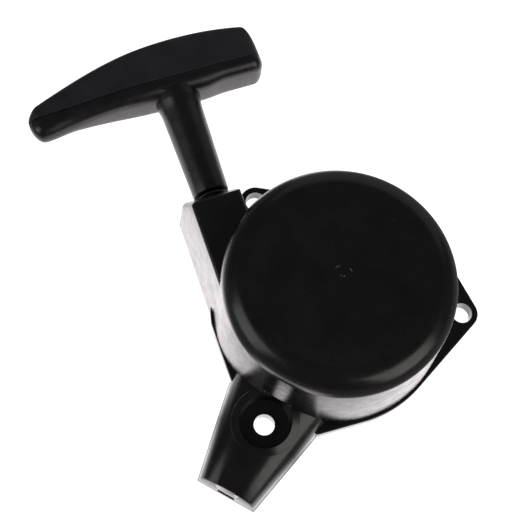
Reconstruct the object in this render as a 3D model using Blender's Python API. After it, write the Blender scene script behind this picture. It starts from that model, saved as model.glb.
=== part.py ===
"""Recoil starter for a small two-stroke engine.

Frame: the origin is on the crank axis in the plane of the mounting flange, +Z points away from
the engine to the dome, and +Y is the direction in which the rope is pulled.
"""

import math

import bmesh
import bpy
from mathutils import Matrix, Vector

MM = 0.001
GAP = 0.3 * MM

# Driving dimensions of the housing.
CUP_RADIUS = 40.0 * MM
CUP_BASE_RADIUS = 42.3 * MM
CUP_HEIGHT = 44.7 * MM
DOME_FILLET = 7.75 * MM
WALL = 2.5 * MM
FLANGE_RADIUS = 43.0 * MM
FLANGE_LEFT = -42.3 * MM
FLANGE_THICKNESS = 5.9 * MM
BOLT_CIRCLE_RADIUS = 49.0 * MM
BOLT_HOLE_RADIUS = 3.7 * MM
EAR_RADIUS = 5.9 * MM
EAR_ANGLES = (-20.0, 104.0)
LEG_ANGLE = -137.7
LEG_END = 76.5 * MM
LEG_DRAFT = 1.1 * MM
LEG_END_HEIGHT = 10.0 * MM
LEG_ROOT_HEIGHT = 14.4 * MM
LEG_ROOT_CORNERS = ((-41.6, -15.0), (-19.3, -41.6))
FLANGE_CORNER = (48.6, 2.5)
COUNTERBORE_RADIUS = 8.7 * MM
COUNTERBORE_FLOOR = 6.5 * MM

# Rope outlet, rope and handle.
ROPE_X = -27.7 * MM
ROPE_Z = 12.0 * MM
ROPE_RADIUS = 1.6 * MM
OUTLET_END = 51.0 * MM
OUTLET_HEIGHT = 33.0 * MM
STEM_START = 52.5 * MM
GRIP_PARTING = 99.0 * MM
GRIP_LEFT = -83.6 * MM
GRIP_RIGHT = 7.5 * MM

# Stack inside the cup, as heights above the mounting plane.
POST_RADIUS = 5.0 * MM
POST_END = 9.2 * MM
GROOVE_LOW = 12.8 * MM
GROOVE_HIGH = 18.2 * MM
REEL_RADIUS = 35.0 * MM
REEL_FLANGE = 1.5 * MM
GROOVE_FLOOR = 17.5 * MM
REEL_BORE = 6.6 * MM
SPRING_LOW = 30.2 * MM
SPRING_HIGH = 40.2 * MM
SPRING_TURNS = 6.0
SPRING_STRIP = 0.6 * MM
CASE_RADIUS = 28.4 * MM
KNOT_PLACE = (22.2 * MM, 85.0)

# Ratchet on the engine side of the reel.
PAWL_LOW = 7.7 * MM
PAWL_HIGH = 11.0 * MM
PAWL_PIVOT_RADIUS = 14.4 * MM
PAWL_ANGLES = (20.0, 200.0)
PAWL_REST = -78.0
PAWL_BORE = 1.9 * MM
PLATE_LOW = 5.9 * MM
PLATE_HIGH = 7.1 * MM
FINGER_OFFSET = -41.5
FINGER_REACH = 19.5 * MM
TAB_HIGH = 10.6 * MM

ROUND = 44


# ---------------------------------------------------------------- helpers

def clear_scene():
    for item in list(bpy.data.objects):
        bpy.data.objects.remove(item, do_unlink=True)


def plastic(name, colour, roughness, metallic=0.0):
    material = bpy.data.materials.new(name)
    material.use_nodes = True
    shader = material.node_tree.nodes["Principled BSDF"]
    shader.inputs["Base Color"].default_value = (*colour, 1.0)
    shader.inputs["Roughness"].default_value = roughness
    shader.inputs["Metallic"].default_value = metallic
    return material


def make_object(name, mesh_builder, material=None):
    mesh = bpy.data.meshes.new(name)
    bmesh.ops.remove_doubles(mesh_builder, verts=mesh_builder.verts, dist=1e-7)
    bmesh.ops.recalc_face_normals(mesh_builder, faces=mesh_builder.faces)
    mesh_builder.to_mesh(mesh)
    mesh_builder.free()
    mesh.shade_smooth()
    mesh.set_sharp_from_angle(angle=math.radians(35))
    item = bpy.data.objects.new(name, mesh)
    bpy.context.scene.collection.objects.link(item)
    if material:
        mesh.materials.append(material)
    return item


def add_lathe(builder, profile, segments=ROUND):
    """Turn a closed profile of (radius, height) points about Z."""
    rings = []
    for step in range(segments):
        angle = 2 * math.pi * step / segments
        ring = []
        for radius, height in profile:
            ring.append(builder.verts.new((radius * math.cos(angle), radius * math.sin(angle), height)))
        rings.append(ring)
    count = len(profile)
    for step in range(segments):
        here = rings[step]
        there = rings[(step + 1) % segments]
        for index in range(count):
            following = (index + 1) % count
            corners = [here[index], there[index], there[following], here[following]]
            on_axis = profile[index][0] == 0.0 and profile[following][0] == 0.0
            if not on_axis:
                add_face(builder, corners)


def add_face(builder, corners):
    """Add a face, leaving out corners that share a place."""
    kept = []
    for corner in corners:
        if all((corner.co - other.co).length > 1e-9 for other in kept):
            kept.append(corner)
    if len(kept) >= 3:
        builder.faces.new(kept)


def ring_profile(inner, outer, low, high):
    """Closed rectangle for a flat ring, from sizes in millimetres."""
    return [(inner * MM, low * MM), (outer * MM, low * MM), (outer * MM, high * MM), (inner * MM, high * MM)]


def lathe(name, profile, material=None, segments=ROUND):
    builder = bmesh.new()
    add_lathe(builder, profile, segments)
    return make_object(name, builder, material)


def add_loft(builder, rings):
    """Skin a list of equal rings of points and close both ends."""
    made = [[builder.verts.new(point) for point in ring] for ring in rings]
    count = len(made[0])
    for low, high in zip(made, made[1:]):
        for index in range(count):
            following = (index + 1) % count
            builder.faces.new([low[index], low[following], high[following], high[index]])
    builder.faces.new(list(reversed(made[0])))
    builder.faces.new(made[-1])


def loft(name, rings, material=None):
    builder = bmesh.new()
    add_loft(builder, rings)
    return make_object(name, builder, material)


def prism(name, outline, low, high, material=None):
    """Extrude a flat outline of (x, y) points between two heights."""
    rings = [[Vector((x, y, height)) for x, y in outline] for height in (low, high)]
    return loft(name, rings, material)


def arc(centre, radius, start, end, steps):
    points = []
    for step in range(steps + 1):
        angle = math.radians(start + (end - start) * step / steps)
        points.append((centre[0] + radius * math.cos(angle), centre[1] + radius * math.sin(angle)))
    return points


def polar(radius, degrees):
    angle = math.radians(degrees)
    return radius * math.cos(angle), radius * math.sin(angle)


def cylinder(name, centre, radius, low, high, material=None, segments=ROUND):
    outline = arc(centre, radius, 0, 360 - 360 / segments, segments - 1)
    return prism(name, outline, low, high, material)


def hide_tool(item):
    item.hide_render = True
    item.display_type = "WIRE"
    return item


def combine(target, tool, operation):
    """Union a tool into the target, or cut it out, and keep the tool as a hidden guide."""
    modifier = target.modifiers.new(operation.lower() + "_" + tool.name, "BOOLEAN")
    modifier.operation = operation
    modifier.solver = "EXACT"
    modifier.object = hide_tool(tool)


def point_along_y(item, x, z):
    """Lay an object that was turned about Z along Y, at the rope's line."""
    item.matrix_world = Matrix.Translation((x, 0, z)) @ Matrix.Rotation(math.radians(-90), 4, "X")


def wire(name, places, radius, material):
    """Round wire or cord along a list of places."""
    curve = bpy.data.curves.new(name, "CURVE")
    curve.dimensions = "3D"
    curve.bevel_depth = radius
    curve.bevel_resolution = 1
    curve.use_fill_caps = True
    spline = curve.splines.new("POLY")
    spline.points.add(len(places) - 1)
    for point, place in zip(spline.points, places):
        point.co = (*place, 1.0)
    curve.materials.append(material)
    item = bpy.data.objects.new(name, curve)
    bpy.context.scene.collection.objects.link(item)
    return item


# ---------------------------------------------------------------- housing

def cup_wall_radius(height):
    """Outside radius of the cup below its fillet."""
    span = CUP_HEIGHT - DOME_FILLET
    return CUP_BASE_RADIUS + (CUP_RADIUS - CUP_BASE_RADIUS) * height / span


def cup_profile(inset, bottom):
    """Closed half profile of the cup, moved inwards by a wall thickness."""
    fillet = DOME_FILLET - inset
    centre = (CUP_RADIUS - DOME_FILLET, CUP_HEIGHT - DOME_FILLET)
    points = [(0.0, bottom), (cup_wall_radius(bottom) - inset, bottom)]
    points += arc(centre, fillet, 0, 90, 6)
    points.append((0.0, CUP_HEIGHT - inset))
    return points


def belt_outline(discs, count):
    """Tightest belt round some discs, with one point for each direction of its normal."""
    points = []
    for step in range(count):
        angle = 2 * math.pi * step / count
        normal = (math.cos(angle), math.sin(angle))
        x, y, radius = max(discs, key=lambda disc: disc[0] * normal[0] + disc[1] * normal[1] + disc[2])
        points.append((x + radius * normal[0], y + radius * normal[1]))
    return points


def flange_outline():
    """Round flange with two ears, cut straight on the left and drawn out to the root of the leg."""
    discs = [(0, 0, FLANGE_RADIUS)]
    discs += [(*polar(BOLT_CIRCLE_RADIUS, degrees), EAR_RADIUS) for degrees in EAR_ANGLES]
    discs += [(x * MM, y * MM, 0.5 * MM) for x, y in (*LEG_ROOT_CORNERS, FLANGE_CORNER)]
    return [(max(x, FLANGE_LEFT), y) for x, y in belt_outline(discs, 108)]


def leg_point(along, across, height):
    """Point in the leg's own directions: outwards, sideways and up."""
    angle = math.radians(LEG_ANGLE)
    x = along * math.cos(angle) - across * math.sin(angle)
    y = along * math.sin(angle) + across * math.cos(angle)
    return Vector((x, y, height))


def leg_section(along, inset, bottom):
    """Section across the leg: flat bottom, sides that lean in and wide elliptical shoulders."""
    fraction = (along - 38 * MM) / (LEG_END - 38 * MM)
    half = (19.0 - 7.8 * fraction) * MM - inset
    top = LEG_ROOT_HEIGHT + (LEG_END_HEIGHT - LEG_ROOT_HEIGHT) * fraction - inset
    flat = (2.6 - 2.3 * fraction) * MM
    wide = half - 0.9 * MM - flat
    high = 0.5 * (wide + inset) - inset
    right = [(half, bottom)]
    for x, y in arc((0, 0), 1, 0, 90, 8):
        right.append((flat + wide * x, top - high + high * y))
    left = [(-across, height) for across, height in reversed(right)]
    slope = LEG_DRAFT / LEG_END_HEIGHT * fraction
    return [leg_point(along - slope * height, across, height) for across, height in right + left]


def outlet_ring(height, inset, low_y, reach):
    """Rectangle of the rope outlet at one height, narrower towards the top."""
    fraction = height / OUTLET_HEIGHT
    left = (-41.1 + 2.7 * fraction) * MM + inset
    right = (-18.3 - 2.2 * fraction) * MM - inset
    corners = [(left, low_y), (right, low_y), (right, reach), (left, reach)]
    return [Vector((x, y, height)) for x, y in corners]


def outlet_rings(inset, bottom, top, low_y, wall):
    """Rope outlet: upright end up to the rope, then an end that leans back to the top."""
    knee = 16.0 * MM
    lean = 7.3 * MM * (top - knee) / (OUTLET_HEIGHT - knee)
    levels = [(bottom, OUTLET_END - wall), (knee, OUTLET_END - wall), (top, OUTLET_END - wall - lean)]
    return [outlet_ring(height, inset, low_y, reach) for height, reach in levels]


def build_housing(material):
    housing = lathe("housing", cup_profile(0.0, -1.0 * MM), material, 60)
    flange = prism("flange", flange_outline(), -1.2 * MM, FLANGE_THICKNESS)
    combine(housing, flange, "UNION")
    leg = loft("leg", [leg_section(along, 0, -1.6 * MM) for along in (34 * MM, LEG_END)])
    combine(housing, leg, "UNION")
    outlet = loft("outlet", outlet_rings(0, -1.8 * MM, OUTLET_HEIGHT, 6 * MM, 0))
    combine(housing, outlet, "UNION")
    leg_inside = [leg_section(along, WALL, -3 * MM) for along in (36 * MM, LEG_END - WALL)]
    combine(housing, loft("leg_hollow", leg_inside), "DIFFERENCE")
    outlet_inside = outlet_rings(WALL, -3.2 * MM, OUTLET_HEIGHT - WALL, 16 * MM, WALL)
    combine(housing, loft("outlet_hollow", outlet_inside), "DIFFERENCE")
    add_leg_boss(housing)
    hollow_cup = lathe("cup_hollow", cup_profile(WALL, -3.4 * MM), None, 52)
    combine(housing, hollow_cup, "DIFFERENCE")
    add_post(housing)
    drill_housing(housing)
    face_flange(housing)
    return housing


def face_flange(housing):
    """Cut everything off flat at the mounting plane."""
    side = 120 * MM
    corners = [(-side, -side), (side, -side), (side, side), (-side, side)]
    combine(housing, prism("mounting_plane", corners, -6 * MM, 0), "DIFFERENCE")


def add_leg_boss(housing):
    """Boss under the leg that carries the third bolt, with a counterbore from above."""
    centre = polar(BOLT_CIRCLE_RADIUS, LEG_ANGLE)
    boss_radius = COUNTERBORE_RADIUS + WALL - 0.4 * MM
    boss = cylinder("leg_boss", centre, boss_radius, -2 * MM, 10.8 * MM, None, 32)
    combine(housing, boss, "UNION")
    clear = LEG_ROOT_HEIGHT + 2 * MM
    counterbore = cylinder("counterbore", centre, COUNTERBORE_RADIUS, COUNTERBORE_FLOOR, clear, None, 36)
    combine(housing, counterbore, "DIFFERENCE")


def add_post(housing):
    """Centre post of the dome, which the reel turns on, and four ribs that stiffen its root."""
    root = CUP_HEIGHT - WALL
    profile = [(0, POST_END), (POST_RADIUS - 0.4 * MM, POST_END), (POST_RADIUS, POST_END + 0.6 * MM),
               (POST_RADIUS, root - 5 * MM), (POST_RADIUS + 2.5 * MM, root + 1 * MM), (0, root + 1 * MM)]
    combine(housing, lathe("post", profile, None, 36), "UNION")
    pilot = cylinder("pilot_hole", (0, 0), 2.2 * MM, POST_END - MM, POST_END + 18 * MM, None, 24)
    combine(housing, pilot, "DIFFERENCE")


def drill_housing(housing):
    """Bolt holes, the rope's hole and the slot in the end of the leg."""
    for number, degrees in enumerate((*EAR_ANGLES, LEG_ANGLE), 1):
        centre = polar(BOLT_CIRCLE_RADIUS, degrees)
        hole = cylinder(f"bolt_hole_{number}", centre, BOLT_HOLE_RADIUS, -2 * MM, 12 * MM, None, 24)
        combine(housing, hole, "DIFFERENCE")
    rope_hole = cylinder("rope_hole", (0, 0), 4.3 * MM, 40 * MM, 60 * MM, None, 32)
    point_along_y(rope_hole, ROPE_X, ROPE_Z)
    combine(housing, rope_hole, "DIFFERENCE")
    corners = ((-3.2, 1.8), (3.2, 1.8), (3.2, 4.4), (-3.2, 4.4))
    slot = [[leg_point(along, across * MM, height * MM) for across, height in corners]
            for along in (70 * MM, 80 * MM)]
    combine(housing, loft("leg_slot", slot), "DIFFERENCE")


# ---------------------------------------------------------------- rope and guide

def build_rope_guide(material):
    """Flanged eyelet in the end wall of the outlet, with rounded mouths."""
    wall_in = OUTLET_END - WALL
    outer = OUTLET_END + 1.1 * MM
    inner = wall_in - 1.5 * MM
    face = OUTLET_END + GAP
    profile = [(2.2, inner + 1.6 * MM), (3.0, inner + 0.4 * MM), (3.9, inner), (4.0, inner + 0.6 * MM)]
    profile += [(4.0, face), (5.6, face), (5.6, outer - 0.3 * MM), (5.3, outer)]
    profile += [(3.4, outer), (2.5, outer - 0.4 * MM), (2.2, outer - 1.3 * MM)]
    metres = [(radius * MM, height) for radius, height in profile]
    guide = lathe("rope_guide", metres, material, 26)
    point_along_y(guide, ROPE_X, ROPE_Z)
    return guide


def rope_route():
    """Centre line of the rope from the reel through the guide to the knot in the grip."""
    wound_z = (GROOVE_LOW + GROOVE_HIGH) / 2
    start, bend, level, end, steps = 1.0 * MM, 23.0 * MM, 47.0 * MM, GRIP_PARTING - 1.1 * MM, 24
    points = []
    for step in range(steps + 1):
        y = start + (end - start) * step / steps
        along = min(1.0, max(0.0, (y - bend) / (level - bend)))
        drop = along * along * (3 - 2 * along)
        points.append(Vector((ROPE_X, y, wound_z + (ROPE_Z - wound_z) * drop)))
    return points


def build_rope_lead(material):
    return wire("rope_lead", rope_route(), ROPE_RADIUS, material)


def build_wound_rope(material):
    """Turns of rope lying in the groove of the reel, with one bulge for each layer."""
    low = GROOVE_LOW + GAP
    high = GROOVE_HIGH - GAP
    inner = GROOVE_FLOOR + GAP
    outer = -ROPE_X - ROPE_RADIUS - GAP
    middle = (low + high) / 2
    profile = [(inner, low), (outer - 0.8 * MM, low), (outer, low + 0.9 * MM), (outer, middle - 0.8 * MM)]
    profile += [(outer - 0.5 * MM, middle), (outer, middle + 0.8 * MM), (outer, high - 0.9 * MM)]
    profile += [(outer - 0.8 * MM, high), (inner, high)]
    return lathe("wound_rope", profile, material)


def build_knot(name, centre, radius, material):
    """Overhand knot as a lumpy ball."""
    builder = bmesh.new()
    bmesh.ops.create_uvsphere(builder, u_segments=14, v_segments=8, radius=radius)
    for vertex in builder.verts:
        angle = math.atan2(vertex.co.y, vertex.co.x)
        swell = 1.0 + 0.09 * math.cos(3 * angle + 900 * vertex.co.z)
        vertex.co = vertex.co * swell + Vector(centre)
    return make_object(name, builder, material)


# ---------------------------------------------------------------- handle

def rounded_section(x, low, high, half, low_round, high_round):
    """Section of the bar across X: (y, z) rectangle with its own corner radius on each side."""
    half_low = min(low_round, half - 0.2 * MM)
    half_high = min(high_round, half - 0.2 * MM)
    points = arc((low + half_low, -half + half_low), half_low, 180, 270, 4)
    points += arc((high - half_high, -half + half_high), half_high, 270, 360, 4)
    points += arc((high - half_high, half - half_high), half_high, 0, 90, 4)
    points += arc((low + half_low, half - half_low), half_low, 90, 180, 4)
    return [Vector((x, y, ROPE_Z + z)) for y, z in points]


def smooth(value, start, end):
    along = min(1.0, max(0.0, (value - start) / (end - start)))
    return along * along * (3 - 2 * along)


def bar_half(x):
    """Half thickness of the bar: slim at the long left tip, full from the stem to the right."""
    grown = 4.6 + 4.2 * smooth(x, -84 * MM, -36 * MM)
    return grown * MM


def end_pinch(x):
    """Rounds both ends of the bar in plan, from 0 at a tip to 1 inside it."""
    left = min(1.0, (x - GRIP_LEFT) / (4.5 * MM))
    right = min(1.0, (GRIP_RIGHT - x) / (4.2 * MM))
    near = max(0.0, min(left, right))
    return math.sqrt(max(0.0, 1 - (1 - near) ** 2))


def bar_back(x):
    """Back of the cap: one arc that is highest near the stem."""
    middle, top = -23.0 * MM, 115.7 * MM
    if x < middle:
        return top - 12.2 * MM * ((middle - x) / (60.6 * MM)) ** 1.9
    return top - 3.6 * MM * ((x - middle) / (30 * MM)) ** 2.2


def bar_front(x):
    """Face that the fingers pull on: low at the tips, with a shallow hollow in the long lobe."""
    tip = 1.4 * math.exp(-((x + 79.0 * MM) / (8 * MM)) ** 2)
    hollow = 0.7 * math.exp(-((x + 54 * MM) / (12 * MM)) ** 2)
    short_lobe = 1.1 * smooth(x, -17 * MM, -8 * MM)
    return (92.7 - tip + hollow + short_lobe) * MM


def bar_stations(count):
    left, right = GRIP_LEFT + 0.05 * MM, GRIP_RIGHT - 0.05 * MM
    places = []
    for step in range(count + 1):
        bend = math.cos(math.pi * step / count)
        places.append((left + right) / 2 - (right - left) / 2 * bend)
    return places


def build_grip_body(material):
    """Lower moulding of the grip: the bar's finger side and the hollow stem."""
    rings = []
    for x in bar_stations(18):
        pinch = max(0.12, end_pinch(x))
        low = GRIP_PARTING - (GRIP_PARTING - bar_front(x)) * pinch
        half = bar_half(x) * max(0.3, pinch)
        low_round = min(5.2 * MM * pinch, GRIP_PARTING - low - 0.4 * MM)
        rings.append(rounded_section(x, low, GRIP_PARTING, half, low_round, 0.3 * MM))
    body = loft("grip_body", rings, material)
    stem = [(0, STEM_START), (5.8 * MM, STEM_START), (6.7 * MM, STEM_START + 0.9 * MM), (6.8 * MM, 57 * MM),
            (7.8 * MM, 89 * MM), (8.1 * MM, 91 * MM), (8.1 * MM, 95.3 * MM), (0, 95.3 * MM)]
    stem_part = lathe("stem", stem, None, 28)
    point_along_y(stem_part, ROPE_X, ROPE_Z)
    combine(body, stem_part, "UNION")
    seat = GRIP_PARTING - 2.4 * MM
    beyond = GRIP_PARTING + 3.0 * MM
    bore = [(0, 48 * MM), (2.3 * MM, 48 * MM), (2.3 * MM, seat), (5.4 * MM, seat)]
    bore += [(5.4 * MM, beyond), (0, beyond)]
    bore_part = lathe("stem_bore", bore, None, 22)
    point_along_y(bore_part, ROPE_X, ROPE_Z)
    combine(body, bore_part, "DIFFERENCE")
    return body


def build_grip_cap(material):
    """Arched cap that closes the back of the grip, with a pocket over the knot."""
    base = GRIP_PARTING + GAP
    rings = []
    for x in bar_stations(18):
        pinch = max(0.12, end_pinch(x))
        high = base + max(0.4 * MM, (bar_back(x) - base) * pinch)
        half = bar_half(x) * max(0.3, pinch)
        shoulder = min(3.2 * MM, 0.9 * (high - base))
        rings.append(rounded_section(x, base, high, half, 0.1 * MM, shoulder))
    cap = loft("grip_cap", rings, material)
    pocket = cylinder("knot_pocket", (0, 0), 5.4 * MM, 97 * MM, 107.5 * MM, None, 26)
    point_along_y(pocket, ROPE_X, ROPE_Z)
    combine(cap, pocket, "DIFFERENCE")
    return cap


def build_knot_washer(material):
    washer = lathe("knot_washer", ring_profile(2.1, 5.0, 96.9, 97.9), material, 28)
    point_along_y(washer, ROPE_X, ROPE_Z)
    return washer


# ---------------------------------------------------------------- reel and recoil spring

def reel_profile():
    """Half section of the reel: hub, rope groove and the boss that carries the spring."""
    low = GROOVE_LOW - REEL_FLANGE
    high = GROOVE_HIGH + REEL_FLANGE
    shoulder = high + 1.6 * MM
    end = SPRING_HIGH - MM
    groove = [(REEL_RADIUS, GROOVE_LOW), (GROOVE_FLOOR, GROOVE_LOW)]
    groove += [(GROOVE_FLOOR, GROOVE_HIGH), (REEL_RADIUS, GROOVE_HIGH)]
    boss = [(12 * MM, high), (12 * MM, shoulder), (8.4 * MM, shoulder), (8.4 * MM, end), (REEL_BORE, end)]
    return [(REEL_BORE, low), (REEL_RADIUS, low)] + groove + [(REEL_RADIUS, high)] + boss


def drill_reel(reel, name, centre, radius, high):
    combine(reel, cylinder(name, centre, radius, 5 * MM, high, None, 18), "DIFFERENCE")


def build_reel(material):
    """Rope reel, with sockets for the pawl pins, a pocket for the knot and lightening holes."""
    reel = lathe("reel", reel_profile(), material, 52)
    through = GROOVE_LOW + MM
    for number, degrees in enumerate(PAWL_ANGLES, 1):
        drill_reel(reel, f"pin_socket_{number}", polar(PAWL_PIVOT_RADIUS, degrees), 1.9 * MM, 16 * MM)
    drill_reel(reel, "reel_knot_pocket", polar(*KNOT_PLACE), 4.0 * MM, through)
    for number in range(6):
        drill_reel(reel, f"reel_hole_{number}", polar(29.5 * MM, 60 * number + 8.3), 2.6 * MM, through)
    return reel


def build_reel_bush(material):
    return lathe("reel_bush", ring_profile(5.3, 6.3, 11.6, 32), material, 36)


def spiral_points(extra):
    """Points along the recoil spring, moved outwards by extra."""
    inner, outer, steps = 9.0 * MM, 26.0 * MM, 120
    points = []
    for step in range(steps + 1):
        radius = inner + (outer - inner) * step / steps + extra
        points.append(polar(radius, 360 * SPRING_TURNS * step / steps))
    return points


def build_recoil_spring(material):
    """Flat spiral of steel strip."""
    near = spiral_points(0)
    outline = near + list(reversed(spiral_points(SPRING_STRIP)))
    builder = bmesh.new()
    low = [builder.verts.new((x, y, SPRING_LOW)) for x, y in outline]
    high = [builder.verts.new((x, y, SPRING_HIGH)) for x, y in outline]
    count = len(outline)
    for index in range(count):
        following = (index + 1) % count
        builder.faces.new([low[index], low[following], high[following], high[index]])
    for index in range(len(near) - 1):
        mirror = count - 1 - index
        builder.faces.new([low[index], low[mirror], low[mirror - 1], low[index + 1]])
        builder.faces.new([high[index], high[index + 1], high[mirror - 1], high[mirror]])
    return make_object("recoil_spring", builder, material)


def build_spring_case(material):
    """Pressed steel cup that holds the spring against the dome."""
    top = SPRING_HIGH + 1.6 * MM
    under = SPRING_HIGH + 0.7 * MM
    inner = CASE_RADIUS - MM
    profile = [(inner, SPRING_LOW), (CASE_RADIUS, SPRING_LOW), (CASE_RADIUS, top)]
    profile += [(9.5 * MM, top), (9.5 * MM, under), (inner, under)]
    return lathe("spring_case", profile, material)


def build_spring_cover(material):
    """Flat ring that closes the spring case on the side of the reel."""
    high = SPRING_LOW - GAP
    low = high - MM
    profile = [(9.4 * MM, low), (CASE_RADIUS, low), (CASE_RADIUS, high), (9.4 * MM, high)]
    return lathe("spring_cover", profile, material)


# ---------------------------------------------------------------- pawls and friction plate

def build_pawl(number, degrees, material):
    """Hooked pawl on its own pivot: the local origin is the pivot's axis."""
    nose = [(13.5, 2.4), (14.8, 0.2), (13.2, -1.6)]
    back = [(4.0, -3.2)]
    round_end = arc((0, 0), 3.4, 285, 75, 10)
    outline = [(x * MM, y * MM) for x, y in nose + back + round_end + [(6.0, 3.6)]]
    pawl = prism(f"pawl_{number}", outline, PAWL_LOW, PAWL_HIGH, material)
    bore = cylinder(f"pawl_bore_{number}", (0, 0), PAWL_BORE, 0, 20 * MM, None, 24)
    combine(pawl, bore, "DIFFERENCE")
    centre = polar(PAWL_PIVOT_RADIUS, degrees)
    turn = Matrix.Rotation(math.radians(degrees + PAWL_REST), 4, "Z")
    pawl.matrix_world = Matrix.Translation((*centre, 0)) @ turn
    bore.matrix_world = pawl.matrix_world
    return pawl


def build_pawl_pin(number, degrees, material):
    """Headed pin that the pawl swings on, set in the reel."""
    neck = PAWL_LOW - GAP
    head, shank, end = 2.6 * MM, 1.55 * MM, 15.6 * MM
    profile = [(0, 6.2 * MM), (head, 6.2 * MM), (head, neck), (shank, neck), (shank, end), (0, end)]
    pin = lathe(f"pawl_pin_{number}", profile, material, 20)
    pin.location = (*polar(PAWL_PIVOT_RADIUS, degrees), 0)
    return pin


def build_friction_plate(material):
    """Plate with two fingers, each bent up at its end so that it pushes a pawl outwards."""
    hub = 9.5 * MM
    outline = []
    for degrees in PAWL_ANGLES:
        middle = degrees + FINGER_OFFSET
        outline += [polar(hub, middle - 58), polar(hub, middle - 18)]
        outline += [polar(FINGER_REACH, middle - 6), polar(FINGER_REACH, middle + 5)]
        outline += [polar(hub, middle + 18), polar(hub, middle + 58)]
    plate = prism("friction_plate", outline, PLATE_LOW, PLATE_HIGH, material)
    near, far, half = 17.0 * MM, 19.0 * MM, 0.6 * MM
    corners = [(near, -half), (far, -half), (far, half), (near, half)]
    for number, degrees in enumerate(PAWL_ANGLES, 1):
        tab = prism(f"finger_tab_{number}", corners, PLATE_LOW + 0.5 * MM, TAB_HIGH)
        tab.rotation_euler.z = math.radians(degrees + FINGER_OFFSET)
        combine(plate, tab, "UNION")
    combine(plate, cylinder("plate_bore", (0, 0), 2.7 * MM, 0, 20 * MM, None, 28), "DIFFERENCE")
    return plate


def build_friction_spring(material):
    """Short coil spring round the post, between the plate and the reel's hub."""
    turns, steps, low, rise = 2.0, 28, 7.9 * MM, 2.9 * MM
    places = []
    for step in range(steps + 1):
        across = polar(6.0 * MM, 360 * turns * step / steps)
        places.append((*across, low + rise * step / steps))
    return wire("friction_spring", places, 0.45 * MM, material)


def build_centre_screw(material):
    """Pan head screw with a cross recess that holds the plate on the post."""
    shank, neck = 1.85 * MM, 4.4 * MM
    profile = [(0, 1.4 * MM), (4.6 * MM, 1.4 * MM), (5.4 * MM, 2.2 * MM), (5.4 * MM, neck)]
    profile += [(shank, neck), (shank, 24 * MM), (0, 25 * MM)]
    screw = lathe("centre_screw", profile, material, 28)
    length, half = 3.2 * MM, 0.6 * MM
    corners = [(-length, -half), (length, -half), (length, half), (-length, half)]
    for number, turn in enumerate((0, 90), 1):
        slot = prism(f"screw_slot_{number}", corners, 0, 3 * MM)
        slot.rotation_euler.z = math.radians(turn)
        combine(screw, slot, "DIFFERENCE")
    return screw


def build_thrust_washer(material):
    return lathe("thrust_washer", ring_profile(2.5, 7.5, 4.7, 5.6), material, 36)


def build_pawl_spring(number, degrees, material):
    """Hairpin spring beside a pawl, which folds it back in when the rope rests."""
    bend = [(x + 1.0, y) for x, y in arc((0, 0), 2.0, 60, 300, 10)]
    points = [(12.0, 0.0)] + bend + [(10.0, -3.2)]
    height = 9.4 * MM
    places = [(x * MM, y * MM, height) for x, y in points]
    spring = wire(f"pawl_spring_{number}", places, 0.3 * MM, material)
    spring.location = (*polar(25.5 * MM, degrees + 2), 0)
    spring.rotation_euler.z = math.radians(degrees - 95)
    return spring


# ---------------------------------------------------------------- assembly

def build_handle(gloss, satin, steel, cord):
    build_grip_body(gloss)
    build_grip_cap(satin)
    build_knot_washer(steel)
    build_knot("handle_knot", (ROPE_X, 102.7 * MM, ROPE_Z), 3.9 * MM, cord)


def build_starter():
    gloss = plastic("black_gloss_plastic", (0.012, 0.012, 0.013), 0.28)
    satin = plastic("black_satin_plastic", (0.016, 0.016, 0.019), 0.5)
    nylon = plastic("natural_nylon", (0.62, 0.58, 0.48), 0.45)
    steel = plastic("spring_steel", (0.33, 0.34, 0.36), 0.32, 1.0)
    zinc = plastic("zinc_plated_steel", (0.62, 0.62, 0.6), 0.3, 1.0)
    cord = plastic("braided_cord", (0.05, 0.05, 0.05), 0.8)
    build_housing(gloss)
    build_rope_guide(steel)
    build_rope_lead(cord)
    build_wound_rope(cord)
    build_knot("reel_knot", (*polar(*KNOT_PLACE), 9.6 * MM), 2.6 * MM, cord)
    build_handle(gloss, satin, zinc, cord)
    build_reel(nylon)
    build_reel_bush(zinc)
    build_recoil_spring(steel)
    build_spring_case(zinc)
    build_spring_cover(zinc)
    for number, degrees in enumerate(PAWL_ANGLES, 1):
        build_pawl(number, degrees, steel)
        build_pawl_pin(number, degrees, zinc)
        build_pawl_spring(number, degrees, steel)
    build_friction_plate(zinc)
    build_friction_spring(steel)
    build_thrust_washer(zinc)
    build_centre_screw(zinc)


clear_scene()
build_starter()
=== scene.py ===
"""Looks of the recoil starter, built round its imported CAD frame.

Lengths in the builders are millimetres in the frame of the CAD part: the crank axis is Z, the
mounting plane is z = 0 and the rope is pulled along +Y. They are scaled to metres on the way in.
"""

import math

import bmesh
import bpy
from mathutils import Matrix, Vector


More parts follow.
